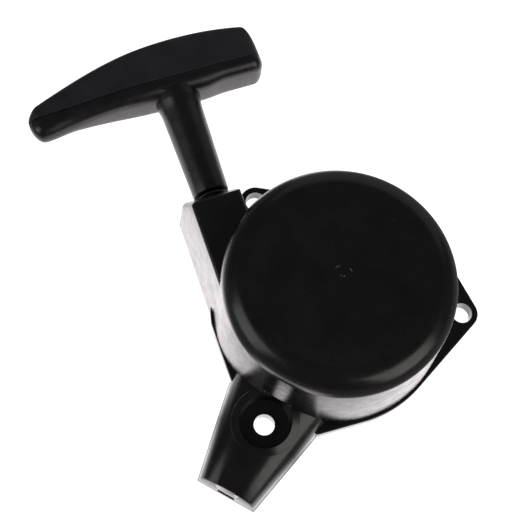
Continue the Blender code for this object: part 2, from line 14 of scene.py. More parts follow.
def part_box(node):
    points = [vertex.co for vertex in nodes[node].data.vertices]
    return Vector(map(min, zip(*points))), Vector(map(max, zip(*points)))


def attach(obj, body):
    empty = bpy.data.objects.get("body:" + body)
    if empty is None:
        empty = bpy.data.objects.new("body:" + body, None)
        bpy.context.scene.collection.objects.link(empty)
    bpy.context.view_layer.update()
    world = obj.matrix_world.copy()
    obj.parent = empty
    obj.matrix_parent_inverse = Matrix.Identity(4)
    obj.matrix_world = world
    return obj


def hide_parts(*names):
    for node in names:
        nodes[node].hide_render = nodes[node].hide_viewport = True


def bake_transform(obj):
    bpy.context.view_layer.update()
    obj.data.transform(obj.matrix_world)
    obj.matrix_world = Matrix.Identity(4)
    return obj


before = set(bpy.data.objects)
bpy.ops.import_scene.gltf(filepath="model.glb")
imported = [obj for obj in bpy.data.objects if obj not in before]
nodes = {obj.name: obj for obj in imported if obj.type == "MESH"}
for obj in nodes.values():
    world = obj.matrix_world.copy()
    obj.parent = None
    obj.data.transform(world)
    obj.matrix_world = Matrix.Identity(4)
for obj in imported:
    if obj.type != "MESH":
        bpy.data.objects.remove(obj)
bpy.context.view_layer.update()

MM = 0.001


# ---------------------------------------------------------------- dimensions

def span(node, axis):
    """Lowest and highest place of a CAD node along an axis."""
    low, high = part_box(node)
    return low[axis] / MM, high[axis] / MM


DOME_TOP = span("housing", 2)[1]
CUP_R = 40.0
CUP_BASE_R = 42.3
DOME_FILLET = 7.75
WALL = 2.5
FLANGE_R = 43.0
FLANGE_LEFT = -42.3
FLANGE_CORNERS = ((-41.6, -15.0), (-19.3, -41.6), (48.6, 2.5))
FLANGE_H = 5.9
BOLT_CIRCLE = 49.0
BOLT_R = 3.7
EAR_R = 5.9
EARS = (-20.0, 104.0)

# Cutting tools for hollows start this far under the mounting plane.
BELOW = -3.0

# Witness step of the mould round the dome's flat top, and the gate mark at its centre: radius
# and depth in steps.
WITNESS = 0.045
DOME_MARKS = ((31.3, 0.0), (31.2, 1.0), (3.3, 1.0), (3.1, 5.5),
              (1.5, 6.0), (0.9, 6.0), (0.6, 0.5), (0.0, 0.4))

# The leg runs out from the axis. Pairs give a value at its root and what it loses by its end.
LEG_AT = -137.7
LEG_ROOT = 38.0
LEG_END = 76.4
LEG_HALF = (19.0, 7.8)
LEG_FLAT = (2.6, 0.8)
LEG_TOP = (14.4, 4.4)
LEG_FOOT = 1.6
LEG_DRAFT = 1.1
LEG_SLOT = ((-3.2, 1.8), (3.2, 1.8), (3.2, 4.4), (-3.2, 4.4))
LEG_SLOT_ALONG = (70.0, 80.0)
ARCH_POWER = 2.35
BOSS_R = 11.9
BOSS_PROUD = 0.16
BORE_TOP_R = 9.3
BORE_FLOOR_R = 8.9
BORE_FLOOR = 6.5
RIB_ACROSS = 3.4
RIB_HALF = 0.6
RIB_LOW = 1.0
RIB_HIGH = 10.0

POST_R = 5.0
POST_FOOT = 9.2
PILOT_R = 2.2

ROPE_X = -27.7
ROPE_Z = 12.0
ROPE_R = 1.6
ROPE_START = 1.0
ROPE_RISE = (23.0, 47.0)
ROPE_HOLE_R = 4.3
TURN_R = 1.25
TURN_LAYERS = (18.95, 21.3, 23.65)
TURN_HEIGHTS = (14.25, 16.75)

# The outlet's sides at the mounting plane, and how far each has moved at the outlet's top.
OUTLET_TOP = 33.0
OUTLET_END = 51.0
OUTLET_LEFT = (-41.1, 2.7)
OUTLET_RIGHT = (-18.3, 2.2)
OUTLET_ROOT = 6.0
OUTLET_CORNER = 1.8
OUTLET_KNEE = 16.0
OUTLET_LEAN = 7.3
GUIDE_INNER = 47.0
GUIDE_LIP = 51.3
GUIDE_OUTER = 52.1

PARTING = 99.0
STEM_START = 52.5
STEM_TOP = 95.3
STEM_BORE_R = 2.3
GRIP_LEFT = -83.58
GRIP_RIGHT = 7.48
BAR_BACK = 115.6
BAR_FRONT = 92.75
BAR_CREST = -23.0
BAR_HALF = (4.6, 4.2)
BAR_ROUND = (4.5, 4.2)
BAR_STEPS = 64
KNOT_ROOM_R = 5.4

GROOVE = (12.8, 18.2)
CHEEK = 1.5
REEL_R = 35.0
REEL_CORE_R = 17.5
REEL_BORE_R = 6.6
REEL_HUB_R = 8.4
REEL_STEP_R = 12
REEL_TOP = 39.2
POCKET_TOP = 13.8
REEL_KNOT = (22.2, 85.0)
PAWL_PIN = 14.4
PAWLS = (20.0, 200.0)
THREAD_R = 1.85
THREAD_ROOT_R = 1.5
THREAD_PITCH = 0.85
COIL_R = 6.0
COIL_LOW = 7.9
COIL_RISE = 2.9
HAIRPIN_AT = 25.5
HAIRPIN_Z = 9.4


# ---------------------------------------------------------------- mesh helpers

def finish_mesh(name, builder, material, sharp=32.0):
    bmesh.ops.remove_doubles(builder, verts=builder.verts, dist=1e-7)
    bmesh.ops.recalc_face_normals(builder, faces=builder.faces)
    mesh = bpy.data.meshes.new(name)
    builder.to_mesh(mesh)
    builder.free()
    mesh.shade_smooth()
    mesh.set_sharp_from_angle(angle=math.radians(sharp))
    item = bpy.data.objects.new(name, mesh)
    bpy.context.scene.collection.objects.link(item)
    if material:
        mesh.materials.append(material)
    return item


def add_face(builder, corners):
    kept = []
    for corner in corners:
        if all((corner.co - other.co).length > 1e-9 for other in kept):
            kept.append(corner)
    if len(kept) >= 3:
        builder.faces.new(kept)


def skin(builder, rings, closed=True):
    """Join equal rings of points in order, and close both ends unless the rings meet."""
    made = [[builder.verts.new(Vector(point) * MM) for point in ring] for ring in rings]
    count = len(made[0])
    pairs = list(zip(made, made[1:]))
    if not closed:
        pairs.append((made[-1], made[0]))
    for low, high in pairs:
        for index in range(count):
            following = (index + 1) % count
            add_face(builder, [low[index], low[following], high[following], high[index]])
    if closed:
        add_face(builder, list(reversed(made[0])))
        add_face(builder, made[-1])


def loft(name, rings, material=None, sharp=32.0):
    builder = bmesh.new()
    skin(builder, rings)
    return finish_mesh(name, builder, material, sharp)


def lathe(name, profile, material=None, segments=128, sharp=32.0):
    """Turn a closed profile of (radius, height) about Z."""
    rings = []
    for step in range(segments):
        angle = 2 * math.pi * step / segments
        rings.append([(r * math.cos(angle), r * math.sin(angle), z) for r, z in profile])
    builder = bmesh.new()
    skin(builder, rings, closed=False)
    return finish_mesh(name, builder, material, sharp)


def arc(centre, radius, start, end, steps):
    points = []
    for step in range(steps + 1):
        angle = math.radians(start + (end - start) * step / steps)
        points.append((centre[0] + radius * math.cos(angle), centre[1] + radius * math.sin(angle)))
    return points


def polar(radius, degrees):
    return radius * math.cos(math.radians(degrees)), radius * math.sin(math.radians(degrees))


def column(name, centre, levels, segments=72):
    """Upright round solid through (radius, height) levels."""
    rings = []
    for radius, height in levels:
        ring = arc(centre, radius, 0, 360 - 360 / segments, segments - 1)
        rings.append([(x, y, height) for x, y in ring])
    return loft(name, rings)


def join(target, tool, operation):
    """Boolean the tool into the target's mesh and throw the tool away."""
    modifier = target.modifiers.new("join", "BOOLEAN")
    modifier.operation = operation
    modifier.solver = "EXACT"
    modifier.object = tool
    evaluated = target.evaluated_get(bpy.context.evaluated_depsgraph_get())
    result = bpy.data.meshes.new_from_object(evaluated)
    target.modifiers.clear()
    old = target.data
    target.data = result
    bpy.data.meshes.remove(old)
    bpy.data.objects.remove(tool, do_unlink=True)


def settle(item, material, sharp=32.0):
    """Clean up after the booleans and set the shading."""
    builder = bmesh.new()
    builder.from_mesh(item.data)
    bmesh.ops.remove_doubles(builder, verts=builder.verts, dist=2e-6)
    bmesh.ops.dissolve_degenerate(builder, edges=builder.edges, dist=1e-6)
    builder.to_mesh(item.data)
    builder.free()
    item.data.materials.clear()
    item.data.materials.append(material)
    item.data.shade_smooth()
    item.data.set_sharp_from_angle(angle=math.radians(sharp))


def lay_along_rope(item):
    """Turn an object made about Z so that its axis is the rope's line along Y."""
    place = Matrix.Translation((ROPE_X * MM, 0, ROPE_Z * MM))
    item.data.transform(place @ Matrix.Rotation(math.radians(-90), 4, "X"))


def give(item, body, slot, *replaced):
    """Put a finished piece on its body in place of the CAD nodes that it stands for, which are
    hidden. Its slot is not used.
    """
    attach(item, body)
    if replaced:
        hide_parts(*replaced)
    return item


# ---------------------------------------------------------------- materials

class Graph:
    """Small helper round a material's node tree."""

    def __init__(self, name):
        self.material = bpy.data.materials.new(name)
        self.material.use_nodes = True
        self.tree = self.material.node_tree
        self.shader = self.tree.nodes["Principled BSDF"]
        self.place = self.node("ShaderNodeTexCoord").outputs["Object"]

    def node(self, kind, **settings):
        made = self.tree.nodes.new(kind)
        for key, value in settings.items():
            setattr(made, key, value)
        return made

    def link(self, source, target):
        self.tree.links.new(source, target)

    def noise(self, scale, detail=3.0, stretch=(1, 1, 1), rough=0.5):
        mapping = self.node("ShaderNodeMapping")
        mapping.inputs["Scale"].default_value = stretch
        self.link(self.place, mapping.inputs["Vector"])
        noise = self.node("ShaderNodeTexNoise")
        noise.inputs["Scale"].default_value = scale
        noise.inputs["Detail"].default_value = detail
        noise.inputs["Roughness"].default_value = rough
        self.link(mapping.outputs["Vector"], noise.inputs["Vector"])
        return noise.outputs["Fac"]

    def remap(self, value, low, high, to_low, to_high):
        remap = self.node("ShaderNodeMapRange")
        remap.inputs["From Min"].default_value = low
        remap.inputs["From Max"].default_value = high
        remap.inputs["To Min"].default_value = to_low
        remap.inputs["To Max"].default_value = to_high
        self.link(value, remap.inputs["Value"])
        return remap.outputs["Result"]

    def bump(self, height, distance, strength=1.0, under=None):
        bump = self.node("ShaderNodeBump")
        bump.inputs["Distance"].default_value = distance
        bump.inputs["Strength"].default_value = strength
        self.link(height, bump.inputs["Height"])
        if under:
            self.link(under, bump.inputs["Normal"])
        return bump.outputs["Normal"]

    def blend(self, factor, first, second):
        mix = self.node("ShaderNodeMix", data_type="RGBA")
        self.link(factor, mix.inputs["Factor"])
        for socket, colour in ((mix.inputs["A"], first), (mix.inputs["B"], second)):
            if isinstance(colour, tuple):
                socket.default_value = (*colour, 1.0)
            else:
                self.link(colour, socket)
        return mix.outputs["Result"]

    def specks(self, scale, size):
        """Sparse dust: 1 inside small dots, 0 elsewhere."""
        cells = self.node("ShaderNodeTexVoronoi")
        cells.inputs["Scale"].default_value = scale
        self.link(self.place, cells.inputs["Vector"])
        dots = self.remap(cells.outputs["Distance"], size, size * 1.6, 1.0, 0.0)
        pick = self.node("ShaderNodeSeparateColor")
        self.link(cells.outputs["Color"], pick.inputs["Color"])
        chosen = self.node("ShaderNodeMath", operation="GREATER_THAN")
        chosen.inputs[1].default_value = 0.93
        self.link(pick.outputs["Red"], chosen.inputs[0])
        both = self.node("ShaderNodeMath", operation="MULTIPLY")
        self.link(dots, both.inputs[0])
        self.link(chosen.outputs[0], both.inputs[1])
        return both.outputs[0]


def moulded_black(name, colour, roughness, grain, wave=0.00003, flow=0.0):
    """Black moulded plastic: fine grain, faint sink waves, flow lines, dust and uneven gloss."""
    graph = Graph(name)
    shader = graph.shader
    patches = graph.noise(90.0, 4.0)
    dust = graph.specks(520.0, 0.06)
    lighter = tuple(min(1.0, 1.7 * part + 0.002) for part in colour)
    tone = graph.blend(graph.remap(patches, 0.35, 0.75, 0.0, 1.0), colour, lighter)
    graph.link(graph.blend(dust, tone, (0.09, 0.09, 0.09)), shader.inputs["Base Color"])
    uneven = graph.noise(260.0, 5.0, rough=0.65)
    graph.link(graph.remap(uneven, 0.3, 0.75, roughness * 0.8, roughness * 1.3),
               shader.inputs["Roughness"])
    normal = graph.bump(graph.noise(60.0, 2.0), wave)
    if flow:
        normal = graph.bump(graph.noise(700.0, 3.0, (1, 1, 0.05)), flow, under=normal)
    normal = graph.bump(graph.noise(3800.0, 2.0), grain, under=normal)
    graph.link(normal, shader.inputs["Normal"])
    shader.inputs["IOR"].default_value = 1.5
    return graph.material


def metal(name, colour, roughness, scratch, tint=None):
    """Plated or blued steel with fine scratches and uneven plating."""
    graph = Graph(name)
    shader = graph.shader
    shader.inputs["Metallic"].default_value = 1.0
    patches = graph.noise(420.0, 4.0)
    other = tint or tuple(part * 0.72 for part in colour)
    graph.link(graph.blend(graph.remap(patches, 0.4, 0.7, 0.0, 1.0), colour, other),
               shader.inputs["Base Color"])
    graph.link(graph.remap(graph.noise(900.0, 4.0), 0.3, 0.7, roughness * 0.7, roughness * 1.4),
               shader.inputs["Roughness"])
    graph.link(graph.bump(graph.noise(5200.0, 3.0, (1, 0.12, 1)), scratch), shader.inputs["Normal"])
    return graph.material


def natural_nylon():
    """Unfilled nylon of the reel: slightly translucent, with flow marks and a fine grain."""
    graph = Graph("natural_nylon")
    shader = graph.shader
    flow = graph.remap(graph.noise(160.0, 5.0, rough=0.6), 0.3, 0.7, 0.0, 1.0)
    graph.link(graph.blend(flow, (0.60, 0.56, 0.45), (0.70, 0.66, 0.56)),
               shader.inputs["Base Color"])
    graph.link(graph.remap(graph.noise(500.0), 0.3, 0.7, 0.34, 0.5), shader.inputs["Roughness"])
    graph.link(graph.bump(graph.noise(2600.0, 3.0), 0.00004), shader.inputs["Normal"])
    shader.inputs["Subsurface Weight"].default_value = 0.15
    shader.inputs["Subsurface Radius"].default_value = (0.002, 0.0018, 0.0014)
    return graph.material


def braided_cord():
    """Black braided nylon: two sets of crossing strands round the cord, with loose fibres."""
    graph = Graph("braided_cord")
    shader = graph.shader
    waves = []
    for side in (1.0, -1.0):
        mapping = graph.node("ShaderNodeMapping")
        mapping.inputs["Scale"].default_value = (1.6, side, 1.6)
        mapping.inputs["Rotation"].default_value = (0.0, 0.0, 0.6 * side)
        graph.link(graph.place, mapping.inputs["Vector"])
        wave = graph.node("ShaderNodeTexWave", wave_profile="SIN", bands_direction="DIAGONAL")
        wave.inputs["Scale"].default_value = 210.0
        wave.inputs["Distortion"].default_value = 0.4
        graph.link(mapping.outputs["Vector"], wave.inputs["Vector"])
        waves.append(wave.outputs["Fac"])
    strands = graph.node("ShaderNodeMath", operation="MAXIMUM")
    graph.link(waves[0], strands.inputs[0])
    graph.link(waves[1], strands.inputs[1])
    graph.link(graph.blend(strands.outputs[0], (0.006, 0.006, 0.006), (0.05, 0.05, 0.052)),
               shader.inputs["Base Color"])
    normal = graph.bump(strands.outputs[0], 0.0003)
    normal = graph.bump(graph.noise(7000.0, 2.0, (1, 0.15, 1)), 0.00005, under=normal)
    graph.link(normal, shader.inputs["Normal"])
    graph.link(graph.remap(graph.noise(900.0), 0.3, 0.7, 0.55, 0.8), shader.inputs["Roughness"])
    shader.inputs["Sheen Weight"].default_value = 0.15
    return graph.material


# ---------------------------------------------------------------- housing

def wall_radius(height):
    slope = (CUP_R - CUP_BASE_R) / (DOME_TOP - DOME_FILLET)
    return CUP_BASE_R + slope * height


def cup_profile(inset, bottom):
    """Half section of the cup. The outside has the marks of the mould on its flat top."""
    centre = (CUP_R - DOME_FILLET, DOME_TOP - DOME_FILLET)
    points = [(0.0, bottom), (wall_radius(bottom) - inset, bottom)]
    points += arc(centre, DOME_FILLET - inset, 0, 90, 26)
    if inset:
        return points + [(0.0, DOME_TOP - inset)]
    return points + [(radius, DOME_TOP - steps * WITNESS) for radius, steps in DOME_MARKS]


def hull_outline(discs, inset, count):
    """Outline of the tightest belt round some discs, one point for each direction of its normal."""
    points = []
    for step in range(count):
        angle = 2 * math.pi * step / count
        across, up = math.cos(angle), math.sin(angle)
        x, y, radius = max(discs, key=lambda disc: disc[0] * across + disc[1] * up + disc[2])
        reach = radius - inset
        points.append((x + reach * across, y + reach * up))
    return points


def edge_levels(low, high, foot, edge):
    """(inset, height) levels of a slab with a small bevel below and a rounded upper edge."""
    levels = [(foot, low), (0.0, low + foot)]
    for x, y in arc((0.0, 0.0), edge, 0, 90, 5):
        levels.append((edge - x, high - edge + y))
    return levels


def flange_slab():
    """Flange with its ears, cut off straight along the left and drawn out to the leg."""
    discs = [(0.0, 0.0, FLANGE_R)]
    discs += [(*polar(BOLT_CIRCLE, degrees), EAR_R) for degrees in EARS]
    discs += [(x, y, 0.5) for x, y in FLANGE_CORNERS]
    rings = []
    for inset, height in edge_levels(0.0, FLANGE_H, 0.25, 0.45):
        ring = []
        for x, y in hull_outline(discs, inset, 300):
            ring.append((max(x, FLANGE_LEFT + inset), y, height))
        rings.append(ring)
    return loft("flange", rings)


def leg_place(along, across, height):
    x, y = polar(along, LEG_AT)
    side = math.radians(LEG_AT + 90)
    return x + across * math.cos(side), y + across * math.sin(side), height


def leg_fraction(along):
    return (along - LEG_ROOT) / (LEG_END - LEG_ROOT)


def leg_value(pair, along):
    return pair[0] - pair[1] * leg_fraction(along)


def leg_arch(along, inset):
    """Widths of the leg's flat top and its shoulder, and the heights where that starts and ends."""
    flat = leg_value(LEG_FLAT, along)
    half = leg_value(LEG_HALF, along) - inset
    return flat, half - 0.5 - flat, LEG_FOOT, leg_value(LEG_TOP, along) - inset


def arch_rise(out):
    """Arch from 1 at its flat top to 0 at its foot, a little fuller than an ellipse."""
    return max(0.0, 1 - out ** ARCH_POWER) ** (1 / ARCH_POWER)


def leg_height(along, across):
    """Height of the leg's surface at a place."""
    flat, wide, foot, top = leg_arch(along, 0.0)
    out = min(1.0, max(0.0, abs(across) - flat) / wide)
    return foot + (top - foot) * arch_rise(out)


def leg_section(along, inset, bottom):
    """Section of the leg: one wide arch that stands on short upright sides."""
    flat, wide, foot, top = leg_arch(along, inset)
    right = [(flat + wide + 0.5, bottom), (flat + wide + 0.15, foot - 0.4)]
    for out, _ in arc((0.0, 0.0), 1.0, 0, 90, 30):
        right.append((flat + wide * out, foot + (top - foot) * arch_rise(out)))
    left = [(-across, height) for across, height in reversed(right)]
    slope = LEG_DRAFT / 10.0 * leg_fraction(along)
    return [leg_place(along - slope * height, across, height) for across, height in right + left]


def leg_solid():
    """The leg's outside, with a small bevel round its end face."""
    rings = [leg_section(along, 0.0, 0.0) for along in (34.0, 48.0, 62.0, LEG_END - 0.6)]
    rings.append(leg_section(LEG_END - 0.2, 0.15, 0.1))
    rings.append(leg_section(LEG_END, 0.5, 0.3))
    return loft("leg", rings)


def leg_boss():
    """Round boss of the third bolt, which stands a little proud of the leg's arch."""
    levels = ((BOSS_R, None), (BOSS_R, 0.02), (BOSS_R - 0.12, BOSS_PROUD), (9.0, BOSS_PROUD))
    rings = []
    for radius, proud in levels:
        ring = []
        for x, y in arc((0.0, 0.0), radius, 0, 356.25, 95):
            along = BOLT_CIRCLE + x
            height = 0.0 if proud is None else leg_height(along, y) + proud
            ring.append(leg_place(along, y, height))
        rings.append(ring)
    return loft("leg_boss", rings)


def outlet_section(height, inset, low_y, reach, corner):
    """Plan section of the rope outlet with one rounded outer corner."""
    fraction = height / OUTLET_TOP
    left = OUTLET_LEFT[0] + OUTLET_LEFT[1] * fraction + inset
    right = OUTLET_RIGHT[0] - OUTLET_RIGHT[1] * fraction - inset
    points = [(left, low_y), (right, low_y)]
    points += arc((right - 0.4, reach - 0.4), 0.4, 0, 90, 4)
    points += arc((left + corner, reach - corner), corner, 90, 180, 10)
    return [(x, y, height) for x, y in points]


def outlet_reach(height):
    """Where the outlet's end stands: upright up to the rope, then leaning back."""
    if height <= OUTLET_KNEE:
        return OUTLET_END
    return OUTLET_END - OUTLET_LEAN * (height - OUTLET_KNEE) / (OUTLET_TOP - OUTLET_KNEE)


def outlet_solid():
    """The outlet's outside, with a rounded edge round its top."""
    edge = 1.2
    levels = [(height, 0.0) for height in (0.0, 8.0, 14.5, 15.6, 16.6, 18.0, 24.0)]
    levels += [(OUTLET_TOP - edge + y, edge - x) for x, y in arc((0.0, 0.0), edge, 0, 90, 9)]
    rings = []
    for height, inset in levels:
        reach = outlet_reach(height) - 0.5 * inset
        rings.append(outlet_section(height, inset, OUTLET_ROOT, reach, OUTLET_CORNER))
    return loft("outlet", rings)


def outlet_hollow():
    rings = []
    for height in (BELOW, OUTLET_KNEE, OUTLET_TOP - WALL):
        reach = outlet_reach(height) - WALL
        rings.append(outlet_section(height, WALL, 16.0, reach, 0.6))
    return loft("outlet_hollow", rings)


def post_solid():
    """Centre post, which widens where it grows out of the dome."""
    root = DOME_TOP - WALL
    profile = [(0, POST_FOOT), (POST_R - 0.4, POST_FOOT), (POST_R, POST_FOOT + 0.6)]
    profile += [(POST_R, root - 5), (POST_R + 2.5, root + 1), (0, root + 1)]
    return lathe("post", profile, segments=96)


def leg_rib(across):
    """Web inside the hollow leg."""
    corners = [(-RIB_HALF, RIB_LOW), (RIB_HALF, RIB_LOW)]
    corners += [(RIB_HALF, RIB_HIGH), (-RIB_HALF, RIB_HIGH)]
    return loft("leg_rib", [[leg_place(along, across + wide, high) for wide, high in corners]
                            for along in (57.0, LEG_END - 1.0)])


def leg_shell():
    """Hollow leg with its boss and ribs."""
    leg = leg_solid()
    hollow = [leg_section(along, WALL, BELOW) for along in (36.0, LEG_END - WALL)]
    join(leg, loft("leg_hollow", hollow), "DIFFERENCE")
    join(leg, leg_boss(), "UNION")
    for across in (-RIB_ACROSS, RIB_ACROSS):
        join(leg, leg_rib(across), "UNION")
    return leg


def outlet_shell():
    outlet = outlet_solid()
    join(outlet, outlet_hollow(), "DIFFERENCE")
    return outlet


def counterbore():
    """Room for the third bolt's head, with a small radius round its floor."""
    levels = [(BORE_FLOOR_R - 0.4, BORE_FLOOR), (BORE_FLOOR_R - 0.1, BORE_FLOOR + 0.1)]
    levels += [(BORE_FLOOR_R, BORE_FLOOR + 0.4), (BORE_TOP_R, 12.9), (BORE_TOP_R + 0.6, 18.0)]
    return column("counterbore", polar(BOLT_CIRCLE, LEG_AT), levels, 96)


def bolt_hole(degrees, top):
    levels = [(BOLT_R + 0.5, -0.2), (BOLT_R + 0.3, 0.0), (BOLT_R, 0.3), (BOLT_R, top - 0.2)]
    levels += [(BOLT_R + 0.2, top), (BOLT_R + 0.4, top + 0.2)]
    return column("bolt_hole", polar(BOLT_CIRCLE, degrees), levels)


def rope_hole():
    hole = column("rope_hole", (0, 0), [(ROPE_HOLE_R, 40.0), (ROPE_HOLE_R, 60.0)], 64)
    lay_along_rope(hole)
    return hole


def leg_slot():
    """Slot in the leg's end face."""
    return loft("leg_slot", [[leg_place(along, across, height) for across, height in LEG_SLOT]
                             for along in LEG_SLOT_ALONG])


def build_housing(material):
    housing = flange_slab()
    join(housing, lathe("cup", cup_profile(0.0, 0.6), segments=224), "UNION")
    join(housing, leg_shell(), "UNION")
    join(housing, outlet_shell(), "UNION")
    join(housing, counterbore(), "DIFFERENCE")
    join(housing, lathe("cup_hollow", cup_profile(WALL, BELOW), segments=160), "DIFFERENCE")
    join(housing, post_solid(), "UNION")
    pilot = column("pilot", (0, 0), [(PILOT_R, 8.0), (PILOT_R, 27.0)], 40)
    join(housing, pilot, "DIFFERENCE")
    for degrees, top in zip((*EARS, LEG_AT), (FLANGE_H, FLANGE_H, BORE_FLOOR)):
        join(housing, bolt_hole(degrees, top), "DIFFERENCE")
    join(housing, rope_hole(), "DIFFERENCE")
    join(housing, leg_slot(), "DIFFERENCE")
    housing.name = "starter_housing"
    settle(housing, material)
    return housing


# ---------------------------------------------------------------- grip

def smooth(value, start, end):
    along = min(1.0, max(0.0, (value - start) / (end - start)))
    return along * along * (3 - 2 * along)


def bar_size(x):
    """How far the rounded ends pinch the bar's section at a place, and its half depth there."""
    left = min(1.0, (x - GRIP_LEFT) / BAR_ROUND[0])
    right = min(1.0, (GRIP_RIGHT - x) / BAR_ROUND[1])
    near = max(0.0, min(left, right))
    pinch = max(0.1, math.sqrt(max(0.0, 1 - (1 - near) ** 2)))
    half = BAR_HALF[0] + BAR_HALF[1] * smooth(x, -84.0, -36.0)
    return pinch, half * max(0.3, pinch)


def bar_back(x):
    """Arched back of the bar, which falls away on both sides of its crest."""
    if x < BAR_CREST:
        return BAR_BACK - 12.2 * ((BAR_CREST - x) / 60.6) ** 1.9
    return BAR_BACK - 3.6 * ((x - BAR_CREST) / 30.0) ** 2.2


def bar_front(x):
    """Finger side of the bar: a fuller tip, a shallow hollow and a step by the stem."""
    tip = 1.4 * math.exp(-((x + 79.0) / 8.0) ** 2)
    hollow = 0.7 * math.exp(-((x + 54.0) / 12.0) ** 2)
    return BAR_FRONT - tip + hollow + 1.1 * smooth(x, -17.0, -8.0)


def bar_stations():
    """Places along the bar, closer together towards its ends."""
    middle, half = (GRIP_LEFT + GRIP_RIGHT) / 2, (GRIP_RIGHT - GRIP_LEFT) / 2 - 0.03
    return [middle - half * math.cos(math.pi * step / BAR_STEPS) for step in range(BAR_STEPS + 1)]


def bar_ring(x, low, high, half, low_round, high_round):
    """(y, z) section of the bar with its own corner radius on each side."""
    low_round = min(low_round, half - 0.1, (high - low) * 0.9)
    high_round = min(high_round, half - 0.1, (high - low) * 0.9)
    points = arc((low + low_round, -half + low_round), low_round, 180, 270, 10)
    points += arc((high - high_round, -half + high_round), high_round, 270, 360, 8)
    points += arc((high - high_round, half - high_round), high_round, 0, 90, 8)
    points += arc((low + low_round, half - low_round), low_round, 90, 180, 10)
    return [(x, y, ROPE_Z + z) for y, z in points]


def grip_stem():
    """Stem that flares a little towards its root in the bar."""
    foot = [(0, STEM_START), (5.8, STEM_START)] + arc((5.8, STEM_START + 0.9), 0.9, -90, 0, 5)
    side = [(6.8, 57), (7.8, 87.5), (8.0, 89.5), (8.5, 91.3), (8.6, 92.4), (8.6, STEM_TOP)]
    stem = lathe("stem", foot + side + [(0, STEM_TOP)], segments=96)
    lay_along_rope(stem)
    return stem


def grip_bore():
    """Rope's bore through the stem, and the wider room for the knot and its washer."""
    seat, beyond = PARTING - 2.4, PARTING + 3.0
    profile = [(0, 48), (2.9, 48), (STEM_BORE_R, STEM_START + 1), (STEM_BORE_R, seat)]
    profile += [(KNOT_ROOM_R, seat), (KNOT_ROOM_R, beyond), (0, beyond)]
    bore = lathe("bore", profile, segments=64)
    lay_along_rope(bore)
    return bore


def build_grip_body(material):
    rings = []
    for x in bar_stations():
        pinch, half = bar_size(x)
        low = PARTING - (PARTING - bar_front(x)) * pinch
        low_round = min(5.6 * pinch, PARTING - low - 0.45)
        rings.append(bar_ring(x, low, PARTING, half, low_round, 0.35))
    body = loft("bar", rings)
    join(body, grip_stem(), "UNION")
    join(body, grip_bore(), "DIFFERENCE")
    body.name = "grip_lower"
    settle(body, material, 40.0)
    return body


def build_grip_cap(material):
    base = PARTING + 0.3
    rings = []
    for x in bar_stations():
        pinch, half = bar_size(x)
        high = base + max(0.5, (bar_back(x) - base) * pinch)
        rings.append(bar_ring(x, base, high, half, 0.25, min(3.0, 0.8 * (high - base))))
    cap = loft("grip_back", rings)
    pocket = column("pocket", (0, 0), [(KNOT_ROOM_R, 97), (KNOT_ROOM_R, 107.5)], 48)
    lay_along_rope(pocket)
    join(cap, pocket, "DIFFERENCE")
    settle(cap, material, 40.0)
    return cap


# ---------------------------------------------------------------- rope, guide and inner parts

def build_rope(material):
    """Outer length of rope, on the CAD route from the housing to the handle."""
    wound_z = (GROOVE[0] + GROOVE[1]) / 2
    end = PARTING - 1.1
    places = []
    y = ROPE_START
    while y < end:
        places.append(y)
        y += 0.25 if 48.5 < y < 56.0 else 1.5
    places.append(end)
    rings = []
    for y in places:
        height = wound_z + (ROPE_Z - wound_z) * smooth(y, *ROPE_RISE)
        rings.append([(ROPE_X + x, y, height + z) for x, z in arc((0, 0), ROPE_R, 0, 345, 23)])
    return loft("starter_rope", rings, material)


def build_rope_turns(material):
    """Turns of rope in the reel's groove. The outermost layer isn't quite round."""
    builder = bmesh.new()
    for layer_radius in TURN_LAYERS:
        loose = 0.15 if layer_radius == TURN_LAYERS[-1] else 0.0
        for height in TURN_HEIGHTS:
            rings = []
            for step in range(120):
                turn = 2 * math.pi * step / 120
                ring = []
                for across, high in arc((0, 0), TURN_R, 0, 330, 11):
                    reach = layer_radius + across + loose * math.sin(turn)
                    ring.append((reach * math.cos(turn), reach * math.sin(turn), height + high))
                rings.append(ring)
            skin(builder, rings, closed=False)
    return finish_mesh("rope_turns", builder, material, 60.0)


def build_knot(name, centre, radius, material):
    """Tight overhand knot: one strand wound three ways round itself."""
    builder = bmesh.new()
    rings = []
    steps = 140
    thick = radius * 0.36

    def point(step):
        turn = 2 * math.pi * step / steps
        reach = radius * 0.42 * (1.25 + 0.5 * math.cos(3 * turn))
        height = radius * 0.5 * math.sin(3 * turn)
        around = Vector((reach * math.cos(2 * turn), reach * math.sin(2 * turn), height))
        return around + Vector(centre)

    for step in range(steps):
        here = point(step)
        forward = (point(step + 1) - point(step - 1)).normalized()
        side = forward.cross(Vector((0, 0, 1))).normalized()
        up = side.cross(forward)
        rings.append([here + side * x + up * y for x, y in arc((0, 0), thick, 0, 330, 11)])
    skin(builder, rings, closed=False)
    return finish_mesh(name, builder, material, 70.0)


def build_guide(material):
    """Eyelet with a rounded mouth at both ends and a lip outside the outlet's wall."""
    profile = [(2.25, GUIDE_INNER + 1.6)] + arc((3.7, GUIDE_INNER + 1.45), 1.45, 180, 270, 8)
    profile += [(4.0, GUIDE_INNER), (4.0, GUIDE_LIP), (5.55, GUIDE_LIP)]
    profile += arc((5.2, GUIDE_OUTER - 0.35), 0.35, 0, 90, 4)
    profile += arc((3.5, GUIDE_OUTER - 1.25), 1.25, 90, 180, 10)
    guide = lathe("outlet_eyelet", profile, material, 72)
    lay_along_rope(guide)
    return guide


